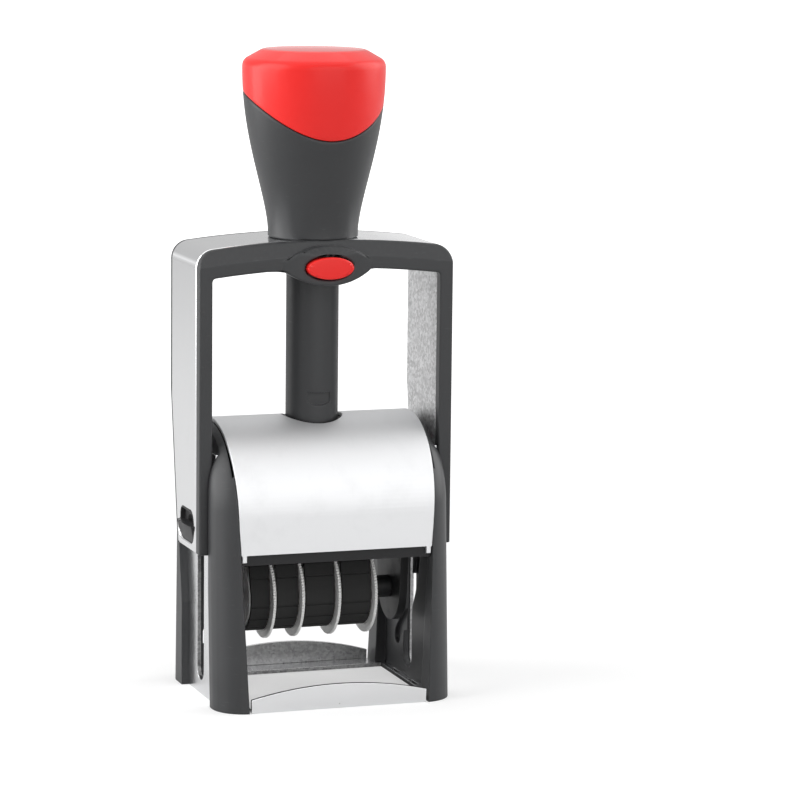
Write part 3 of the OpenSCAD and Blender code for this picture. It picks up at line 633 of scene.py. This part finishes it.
class STAMP_OT_base(Operator):
    """Dress the bright base sheet and the two cheeks"""
    bl_idname = "stamp.base"
    bl_label = "Base"

    lip_reach, floor_top = 1.4 * MM, 2.0 * MM
    cheek_weld = 0.18 * MM

    def execute(self, context):
        sizes = context.scene.stamp_sizes
        self.lip_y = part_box("base_frame")[0].y + self.lip_reach
        sheet = dress(
            context, "base_frame", "chrome_sheet", sizes.sheet_edge, held=True, split=True)
        uncover(context, sheet, "zinc_lip", lambda face: face.normal.y < -0.6 and face.center.y > 0)
        # Painted shade: the inward faces of the side walls and the cut edge on top of the front lip take the black
        # moulding. It stands in for the shade inside the walls and the shadow line along the lip.
        uncover(context, sheet, "black_plastic", lambda face: faces_inward(face) or self.on_lip_edge(face))
        for node in ("left_cheek", "right_cheek"):
            dress(
                context, node, "grey_plastic", sizes.cheek_edge,
                weld=self.cheek_weld, held=True)
        return {"FINISHED"}

    def on_lip_edge(self, face):
        """True for the cut edge on top of the front lip, which gets a painted shadow line."""
        return face.normal.z > 0.6 and face.center.y < self.lip_y and face.center.z > self.floor_top


class STAMP_OT_cover(Operator):
    """Dress the bright cover and the pad housing under it"""
    bl_idname = "stamp.cover"
    bl_label = "Cover"

    def execute(self, context):
        sizes = context.scene.stamp_sizes
        dress(context, "dome_cover", "chrome_cover", sizes.sheet_edge)
        dress(context, "pad_housing", "black_plastic", sizes.sheet_edge, held=True)
        return {"FINISHED"}


class STAMP_OT_column(Operator):
    """Dress the guide column, its coil spring and the plunger"""
    bl_idname = "stamp.column"
    bl_label = "Column"

    wire_r = 0.45 * MM
    turns, around, sides = 12, 28, 10

    def execute(self, context):
        sizes = context.scene.stamp_sizes
        dress(context, "guide_column", "grey_plastic", sizes.fine_edge)
        coat(context, "spring_plunger", "black_plastic")
        self.wind_spring(context)
        return {"FINISHED"}

    def wind_spring(self, context):
        """One coil of round wire between the ends of its node."""
        low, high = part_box("main_spring")
        wire = self.wire_r
        radius = high.x - wire
        rings = self.turns * self.around
        section = [2 * math.pi * k / self.sides for k in range(self.sides)]
        up = Vector((0, 0, 1))
        bm = bmesh.new()
        loops = []
        for i in range(rings + 1):
            angle = 2 * math.pi * i / self.around
            out = Vector((math.cos(angle), math.sin(angle), 0))
            centre = out * radius + up * (low.z + wire + (high.z - low.z - 2 * wire) * i / rings)
            loops.append([
                bm.verts.new(centre + wire * (math.cos(a) * out + math.sin(a) * up)) for a in section])
        join_loops(bm, loops)
        bm.faces.new(loops[0])
        bm.faces.new(loops[-1][::-1])
        bmesh.ops.recalc_face_normals(bm, faces=bm.faces)
        mesh = bpy.data.meshes.new("main_spring_coil")
        bm.to_mesh(mesh)
        bm.free()
        mesh.shade_smooth()
        coil = add_piece(
            context, "main_spring_coil", mesh, "base", "main_spring", [finish(context, "steel")])
        travel = next(j for j in frame["joints"] if j["name"] == "yoke_slide")["range_m"][1]
        length = high.z - low.z
        (length - travel) / length
        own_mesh(coil)


def join_loops(bm, loops):
    """Faces between each closed ring of points and the next."""
    for first, second in zip(loops, loops[1:]):
        for k in range(len(first)):
            n = (k + 1) % len(first)
            bm.faces.new((first[k], first[n], second[n], second[k]))


class STAMP_OT_yoke(Operator):
    """Dress the bright strip, its trims and the guide block"""
    bl_idname = "stamp.yoke"
    bl_label = "Yoke"

    def execute(self, context):
        sizes = context.scene.stamp_sizes
        strip = dress(context, "yoke_strip", "chrome_strip", sizes.strip_edge)
        uncover(context, strip, "zinc", lambda face: face.normal.z < -0.6 or faces_inward(face))
        dress(context, "front_trim", "grey_plastic", sizes.moulded_edge)
        dress(context, "rear_trim", "grey_plastic", sizes.sheet_edge)
        dress(context, "yoke_bridge", "black_plastic", sizes.sheet_edge)
        return {"FINISHED"}


class STAMP_OT_handle(Operator):
    """Turn the grip and the cap of the handle"""
    bl_idname = "stamp.handle"
    bl_label = "Handle"

    neck_r, grip_r, flat_r = 11.1 * MM, 17.6 * MM, 12.6 * MM
    neck_drop, taper = 44.6 * MM, 40.0 * MM
    curve_r, curve_y, curve_drop = 31.2 * MM, 8.1 * MM, 41.7 * MM
    slope_drop, low_cut, high_cut = 3.1 * MM, 1.5 * MM, 0.8 * MM
    bore_r, bore_drop = 6.8 * MM, 3.1 * MM
    plug_r, plug_drop = 14.4 * MM, 2.2 * MM
    inner_r, inner_drop = 14.6 * MM, 2.0 * MM
    foot_gap, foot_edge, grip_edge = 0.1 * MM, 0.3 * MM, 0.3 * MM
    cap_edge, crown = 0.35 * MM, 0.25 * MM
    round_steps = ((0.5, 0.13), (0.87, 0.5), (1.0, 1.0))

    def execute(self, context):
        sizes = context.scene.stamp_sizes
        self.low, self.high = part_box("handle_grip")[0].z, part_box("handle_cap")[1].z
        self.neck_z = self.high - self.neck_drop
        steps = sizes.lathe_steps
        turns = [2 * math.pi * k / steps for k in range(steps)]
        parting = [self.parting_z(angle) for angle in turns]
        self.make_grip(context, turns, parting, sizes.cap_gap / 2)
        self.make_cap(context, turns, parting, sizes.cap_gap / 2)
        return {"FINISHED"}

    def radius(self, z):
        """Outer radius of the handle at height z."""
        t = min(1.0, max(0.0, (z - self.neck_z) / self.taper))
        return self.neck_r + (self.grip_r - self.neck_r) * (1 - math.cos(math.pi * t ** 0.75)) / 2

    def parting_z(self, angle):
        """Height at which the cap meets the grip; angle 0 is at the front."""
        curve_z = self.high - self.curve_drop
        z = curve_z + self.curve_r
        for _ in range(60):
            y = -self.radius(z) * math.cos(angle)
            z += 0.5 * (curve_z + math.sqrt(max(0.0, self.curve_r ** 2 - (y - self.curve_y) ** 2)) - z)
        return z

    def ring(self, bm, turns, radii, heights):
        return [
            bm.verts.new((r * math.sin(a), -r * math.cos(a), z)) for a, r, z in zip(turns, radii, heights)]

    def even(self, bm, turns, r, z):
        return self.ring(bm, turns, [r] * len(turns), [z] * len(turns))

    def finish_mesh(self, bm, name):
        bmesh.ops.recalc_face_normals(bm, faces=bm.faces)
        mesh = bpy.data.meshes.new(name)
        bm.to_mesh(mesh)
        bm.free()
        mesh.shade_smooth()
        mesh.set_sharp_from_angle(angle=math.radians(38))
        return mesh

    def make_grip(self, context, turns, parting, gap):
        bm = bmesh.new()
        rows, edge = 40, self.grip_edge
        foot = self.low + self.foot_gap
        neck = foot + self.foot_edge
        loops = [
            self.even(bm, turns, self.bore_r, self.high - self.bore_drop),
            self.even(bm, turns, self.bore_r, foot),
            self.even(bm, turns, self.neck_r - edge, foot)]
        tops = [z - gap - edge for z in parting]
        for i in range(rows + 1):
            heights = [neck + (top - neck) * i / rows for top in tops]
            loops.append(self.ring(bm, turns, [self.radius(z) for z in heights], heights))
        for lift, inset in self.round_steps:
            heights = [top + edge * lift for top in tops]
            loops.append(self.ring(bm, turns, [self.radius(top) - edge * inset for top in tops], heights))
        loops.append(self.ring(bm, turns, [self.plug_r] * len(turns), [top + edge for top in tops]))
        loops.append(self.even(bm, turns, self.plug_r, self.high - self.plug_drop))
        join_loops(bm, loops)
        bm.faces.new(loops[0])
        bm.faces.new(loops[-1])
        add_piece(
            context, "handle_grip_form", self.finish_mesh(bm, "handle_grip_form"), "yoke",
            "handle_grip", [finish(context, "grey_plastic")])

    def shoulder(self, top):
        """Radius and height along the cap's sloping edge, with its two corners rounded."""
        low = Vector((self.grip_r, self.high - self.slope_drop))
        side = Vector((self.grip_r, low.y - self.slope_drop))
        high, middle = Vector((self.flat_r, top)), Vector((0, top))
        points = []
        for before, corner, after, cut in (
                (side, low, high, self.low_cut), (low, high, middle, self.high_cut)):
            start = corner + (before - corner).normalized() * cut
            end = corner + (after - corner).normalized() * cut
            for i in range(9):
                t = i / 8
                points.append(start * (1 - t) ** 2 + corner * 2 * t * (1 - t) + end * t * t)
        return points

    def make_cap(self, context, turns, parting, gap):
        bm = bmesh.new()
        rows, edge = 16, self.cap_edge
        top = self.high - self.crown
        profile = self.shoulder(top)
        start = profile[0].y
        lows = [z + gap for z in parting]
        loops = [
            self.even(bm, turns, self.inner_r, self.high - self.inner_drop),
            self.ring(bm, turns, [self.inner_r] * len(turns), lows)]
        for lift, inset in ((0.0, 1.0), (0.13, 0.5), (0.5, 0.13)):
            loops.append(self.ring(
                bm, turns, [self.radius(z) - edge * inset for z in lows], [z + edge * lift for z in lows]))
        for i in range(rows + 1):
            heights = [z + edge + (start - z - edge) * i / rows for z in lows]
            loops.append(self.ring(bm, turns, [self.radius(z) for z in heights], heights))
        loops += [self.even(bm, turns, point.x, point.y) for point in profile[1:]]
        for i in range(1, 8):
            share = 1 - i / 8
            loops.append(self.even(bm, turns, profile[-1].x * share, top + self.crown * (1 - share ** 2)))
        join_loops(bm, loops)
        bm.faces.new(loops[0])
        bm.faces.new(loops[-1])
        add_piece(
            context, "handle_cap_form", self.finish_mesh(bm, "handle_cap_form"), "yoke",
            "handle_cap", [finish(context, "red_plastic")])


class STAMP_OT_button(Operator):
    """Dress the lock button"""
    bl_idname = "stamp.button"
    bl_label = "Lock button"

    def execute(self, context):
        dress(context, "lock_button", "red_plastic", context.scene.stamp_sizes.moulded_edge)
        return {"FINISHED"}


class STAMP_OT_pivots(Operator):
    """Dress the pivot pins and shape their clips"""
    bl_idname = "stamp.pivots"
    bl_label = "Pivots"

    proud, hollow = 1.2 * MM, 1.1 * MM

    def execute(self, context):
        for side in ("left", "right"):
            dress(context, side + "_pivot_pin", "steel", context.scene.stamp_sizes.sheet_edge)
            self.make_clip(context, side + "_pin_clip", -1 if side == "left" else 1)
        return {"FINISHED"}

    def height(self, u, w, seam):
        """How far the clip stands out at a share of its width and height."""
        if w <= seam:
            return self.proud * (w + 1) / (seam + 1) * (1 - 0.3 * u * u) if abs(u) < 1 else 0.0
        return -self.hollow if abs(u) < 0.9 and w < 0.86 else 0.0

    def make_clip(self, context, node, side):
        """A plug with a hollow over the pin's end and a tongue that scoops out below it."""
        low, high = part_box(node)
        middle, half = (low + high) / 2, (high - low) / 2
        face_x = abs(low.x if side < 0 else high.x) - self.proud
        back_x = abs(high.x if side < 0 else low.x)
        seam, lip = 0.1, 0.02
        rows = (-0.98, -0.9, -0.7, -0.4, -0.1, seam - lip, seam, seam + lip, 0.3, 0.55, 0.8, 0.84, 0.88, 0.98)
        columns = (-1, -0.98, -0.92, -0.88, -0.6, -0.3, 0, 0.3, 0.6, 0.88, 0.92, 0.98, 1)
        bm = bmesh.new()
        grid = []
        for w in rows:
            reach = half.y * (1 - abs(w) ** 5) ** 0.2
            grid.append([bm.verts.new((
                side * (face_x + self.height(u, w, seam)), middle.y + u * reach, middle.z + w * half.z))
                for u in columns])
        for first, second in zip(grid, grid[1:]):
            for k in range(len(columns) - 1):
                bm.faces.new((first[k], first[k + 1], second[k + 1], second[k]))
        rim = grid[0] + [row[-1] for row in grid[1:-1]] + grid[-1][::-1] + [row[0] for row in grid[-2:0:-1]]
        rear = [bm.verts.new((side * back_x, vert.co.y, vert.co.z)) for vert in rim]
        join_loops(bm, [rim, rear])
        bm.faces.new(rear)
        bmesh.ops.recalc_face_normals(bm, faces=bm.faces)
        mesh = bpy.data.meshes.new(node)
        bm.to_mesh(mesh)
        bm.free()
        clip = add_piece(
            context, node + "_form", mesh, "yoke", node, [finish(context, "black_plastic")])
        round_edges(clip, context.scene.stamp_sizes.fine_edge, 2, True)


class STAMP_OT_pad(Operator):
    """Dress the pad tray and lay the felt"""
    bl_idname = "stamp.pad"
    bl_label = "Ink pad"

    drawn_in, unevenness = 0.15 * MM, 0.05 * MM

    def execute(self, context):
        sizes = context.scene.stamp_sizes
        dress(context, "pad_tray", "black_plastic", sizes.sheet_edge, held=True)
        self.lay_felt(context, sizes.felt_crown)
        return {"FINISHED"}

    def lay_felt(self, context, crown):
        """A felt block, drawn in a little at its sides and softly uneven on its face."""
        low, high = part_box("ink_pad")
        middle, half = (low + high) / 2, (high - low) / 2
        bm = bmesh.new()
        bmesh.ops.create_cube(bm, size=2.0)
        bmesh.ops.subdivide_edges(bm, edges=bm.edges, cuts=23, use_grid_fill=True)
        for vert in bm.verts:
            x, y, z = vert.co
            swell = (1 - x ** 4) * (1 - y ** 4)
            drawn = self.drawn_in * (1 - z * z)
            point = Vector((x * (half.x - drawn), y * (half.y - drawn), z * half.z))
            uneven = self.unevenness * noise.noise(point * 900)
            if z < 0:
                point.z += (crown + self.unevenness) * (1 - swell) * -z + abs(uneven)
            vert.co = middle + point
        mesh = bpy.data.meshes.new("ink_pad_felt")
        bm.to_mesh(mesh)
        bm.free()
        mesh.shade_smooth()
        felt = add_piece(
            context, "ink_pad_felt", mesh, "pad_cassette", "ink_pad",
            [finish(context, "ink_felt")])


class STAMP_OT_head(Operator):
    """Dress the frame, end plates and text plate of the print head"""
    bl_idname = "stamp.head"
    bl_label = "Print head"

    def execute(self, context):
        sizes = context.scene.stamp_sizes
        for node in ("head_frame", "left_head_plate", "right_head_plate", "band_bridge", "axle_spacer"):
            dress(context, node, "black_plastic", sizes.fine_edge)
        dress(context, "text_plate", "plate_rubber", sizes.fine_edge)
        dress(context, "wheel_axle", "steel", sizes.fine_edge)
        return {"FINISHED"}


class STAMP_OT_bands(Operator):
    """Dress the four date bands"""
    bl_idname = "stamp.bands"
    bl_label = "Date bands"

    def execute(self, context):
        edge = context.scene.stamp_sizes.fine_edge / 2
        for i in range(1, 5):
            dress(context, f"date_band_{i}", "band_rubber", edge)
        return {"FINISHED"}


class STAMP_OT_wheels(Operator):
    """Dress the four thumbwheels"""
    bl_idname = "stamp.wheels"
    bl_label = "Thumbwheels"

    def execute(self, context):
        edge = context.scene.stamp_sizes.fine_edge / 2
        for i in range(1, 5):
            dress(context, f"thumbwheel_{i}", "white_plastic", edge)
        return {"FINISHED"}


PIECES = (
    STAMP_OT_base, STAMP_OT_cover, STAMP_OT_column, STAMP_OT_yoke, STAMP_OT_handle, STAMP_OT_button,
    STAMP_OT_pivots, STAMP_OT_pad, STAMP_OT_head, STAMP_OT_bands, STAMP_OT_wheels, STAMP_OT_stage,
)


class STAMP_PT_panel(Panel):
    """Lists the pieces of the stamp, their sizes and their colours"""
    bl_idname = "STAMP_PT_panel"
    bl_label = "Date Stamp"
    bl_space_type = "VIEW_3D"
    bl_region_type = "UI"
    bl_category = "Stamp"

    def draw(self, context):
        for piece in PIECES:
            self.layout.operator(piece.bl_idname)
        for group in (context.scene.stamp_sizes, context.scene.stamp_colours, context.scene.stamp_stage):
            box = self.layout.box()
            for key in group.bl_rna.properties.keys():
                if key not in ("rna_type", "name"):
                    box.prop(group, key)


CLASSES = (StampSizes, StampColours, StampStage, *PIECES, STAMP_PT_panel)


def register():
    for cls in CLASSES:
        bpy.utils.register_class(cls)
    bpy.types.Scene.stamp_sizes = PointerProperty(type=StampSizes)
    bpy.types.Scene.stamp_colours = PointerProperty(type=StampColours)
    bpy.types.Scene.stamp_stage = PointerProperty(type=StampStage)


def unregister():
    del bpy.types.Scene.stamp_stage
    del bpy.types.Scene.stamp_colours
    del bpy.types.Scene.stamp_sizes
    for cls in reversed(CLASSES):
        bpy.utils.unregister_class(cls)


def main():
    register()
    for piece in PIECES:
        group, name = piece.bl_idname.split(".")
        getattr(getattr(bpy.ops, group), name)()
    bpy.context.view_layer.update()


if __name__ == "__main__":
    main()
